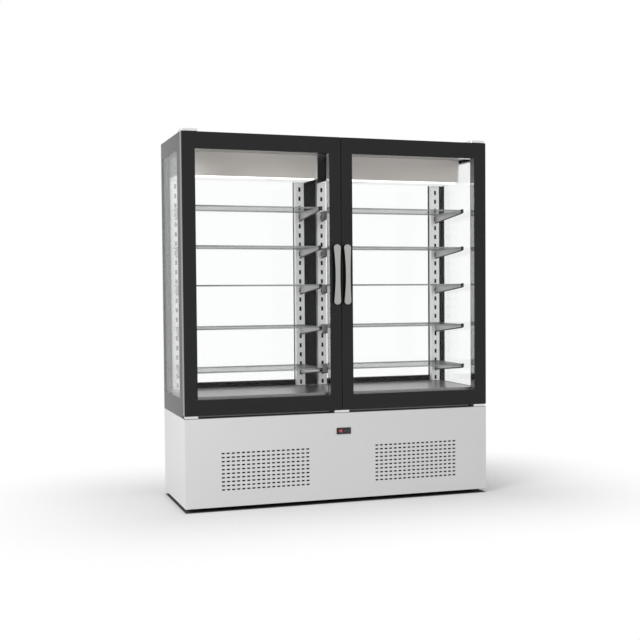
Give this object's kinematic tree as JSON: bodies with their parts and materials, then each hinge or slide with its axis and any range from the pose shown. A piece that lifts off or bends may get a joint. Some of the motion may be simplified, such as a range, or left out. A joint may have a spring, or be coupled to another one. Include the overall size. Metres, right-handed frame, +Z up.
{
  "type": "refrigerated display case",
  "caption": "Upright refrigerated pastry display case with hinged double-glazed doors, glass shelves on cantilever brackets and a vented machine base.",
  "frame": {"origin": "on the floor under the middle of the whole case, handles included", "axes": "+Z up, the doors face -Y, +X to the right of someone facing the doors"},
  "size_m": [1.6, 0.63, 1.862],
  "materials": {
    "door_border": "printed black border under glossy glass",
    "trim": "satin",
    "polished": "polished",
    "clear_glass": "clear",
    "shelf_glass": "clear, polished edges",
    "gasket": "matt soft vinyl",
    "handle": "satin",
    "case_border": "printed border under glossy glass",
    "base_paint": "light grey, fine satin",
    "zinc": "plain zinc-coated sheet",
    "inner_steel": "fine brushed",
    "header_paint": "warm grey satin",
    "hinge_metal": "satin",
    "black_plastic": "fine matt",
    "sandwich_panel": "foam-filled panel with a brushed steel skin",
    "key_plastic": "satin",
    "display": "tinted window",
    "light": "opal diffuser",
    "fins": "plain fins",
    "compressor_paint": "satin black",
    "cap_rubber": "matt"
  },
  "bodies": {
    "cabinet": {"base_chassis": "zinc", "base_front_panel": "base_paint", "base_left_panel": "base_paint", "base_rear_panel": "base_paint", "base_right_panel": "base_paint", "bottom_hinge_plates": "hinge_metal", "bracket_end_caps": "cap_rubber", "compressor": "compressor_paint", "condensate_tray": "inner_steel", "condenser_coil": "fins", "controller_display": "display", "controller_housing": "black_plastic", "deck": "sandwich_panel", "door_catch": "hinge_metal", "evaporator_coils": "fins", "fan_shroud": "zinc", "left_header": "header_paint", "left_shelf_1": "shelf_glass", "left_shelf_2": "shelf_glass", "left_shelf_3": "shelf_glass", "left_shelf_4": "shelf_glass", "left_shelf_5": "shelf_glass", "left_shelf_brackets": "inner_steel", "left_side_frame": "case_border", "levelling_feet": "black_plastic", "light_strips": "light", "power_inlet": "black_plastic", "rear_frame": "case_border", "rear_glass": "clear_glass", "right_header": "header_paint", "right_shelf_1": "shelf_glass", "right_shelf_2": "shelf_glass", "right_shelf_3": "shelf_glass", "right_shelf_4": "shelf_glass", "right_shelf_5": "shelf_glass", "right_shelf_brackets": "inner_steel", "right_side_frame": "case_border", "side_glass": "clear_glass", "slotted_standards": "inner_steel", "top_hinge_plates": "hinge_metal", "top_panel": "sandwich_panel"},
    "left_door": {"left_door_edge_trim": "trim", "left_door_frame": "door_border", "left_door_gasket": "gasket", "left_door_glass": "clear_glass", "left_door_handle": "handle", "left_door_spacer": "polished"},
    "right_door": {"right_door_edge_trim": "trim", "right_door_frame": "door_border", "right_door_gasket": "gasket", "right_door_glass": "clear_glass", "right_door_handle": "handle", "right_door_spacer": "polished"},
    "condenser_fan": {"condenser_fan": "black_plastic"},
    "left_evaporator_fan": {"left_evaporator_fan": "black_plastic"},
    "right_evaporator_fan": {"right_evaporator_fan": "black_plastic"},
    "key_1": {"controller_key_1": "key_plastic"},
    "key_2": {"controller_key_2": "key_plastic"},
    "key_3": {"controller_key_3": "key_plastic"},
    "key_4": {"controller_key_4": "key_plastic"}
  },
  "joints": [
    {"name": "left_door_hinge", "type": "hinge", "parent": "cabinet", "child": "left_door", "pos_m": [-0.784, -0.269, 0.472], "axis": [0, 0, -1], "range_deg": [0, 105]},
    {"name": "right_door_hinge", "type": "hinge", "parent": "cabinet", "child": "right_door", "pos_m": [0.784, -0.269, 0.472], "axis": [0, 0, 1], "range_deg": [0, 105]},
    {"name": "condenser_fan_spin", "type": "hinge", "parent": "cabinet", "child": "condenser_fan", "pos_m": [-0.47, -0.181, 0.157], "axis": [0, 1, 0], "continuous": true},
    {"name": "left_evaporator_fan_spin", "type": "hinge", "parent": "cabinet", "child": "left_evaporator_fan", "pos_m": [-0.24, 0.1275, 1.675], "axis": [0, 0, 1], "continuous": true},
    {"name": "right_evaporator_fan_spin", "type": "hinge", "parent": "cabinet", "child": "right_evaporator_fan", "pos_m": [0.24, 0.1275, 1.675], "axis": [0, 0, 1], "continuous": true},
    {"name": "key_1_press", "type": "slide", "parent": "cabinet", "child": "key_1", "axis": [0, 1, 0], "range_m": [0, 0.0006], "stiffness_N_per_m": 200},
    {"name": "key_2_press", "type": "slide", "parent": "cabinet", "child": "key_2", "axis": [0, 1, 0], "range_m": [0, 0.0006], "stiffness_N_per_m": 200},
    {"name": "key_3_press", "type": "slide", "parent": "cabinet", "child": "key_3", "axis": [0, 1, 0], "range_m": [0, 0.0006], "stiffness_N_per_m": 200},
    {"name": "key_4_press", "type": "slide", "parent": "cabinet", "child": "key_4", "axis": [0, 1, 0], "range_m": [0, 0.0006], "stiffness_N_per_m": 200}
  ]
}
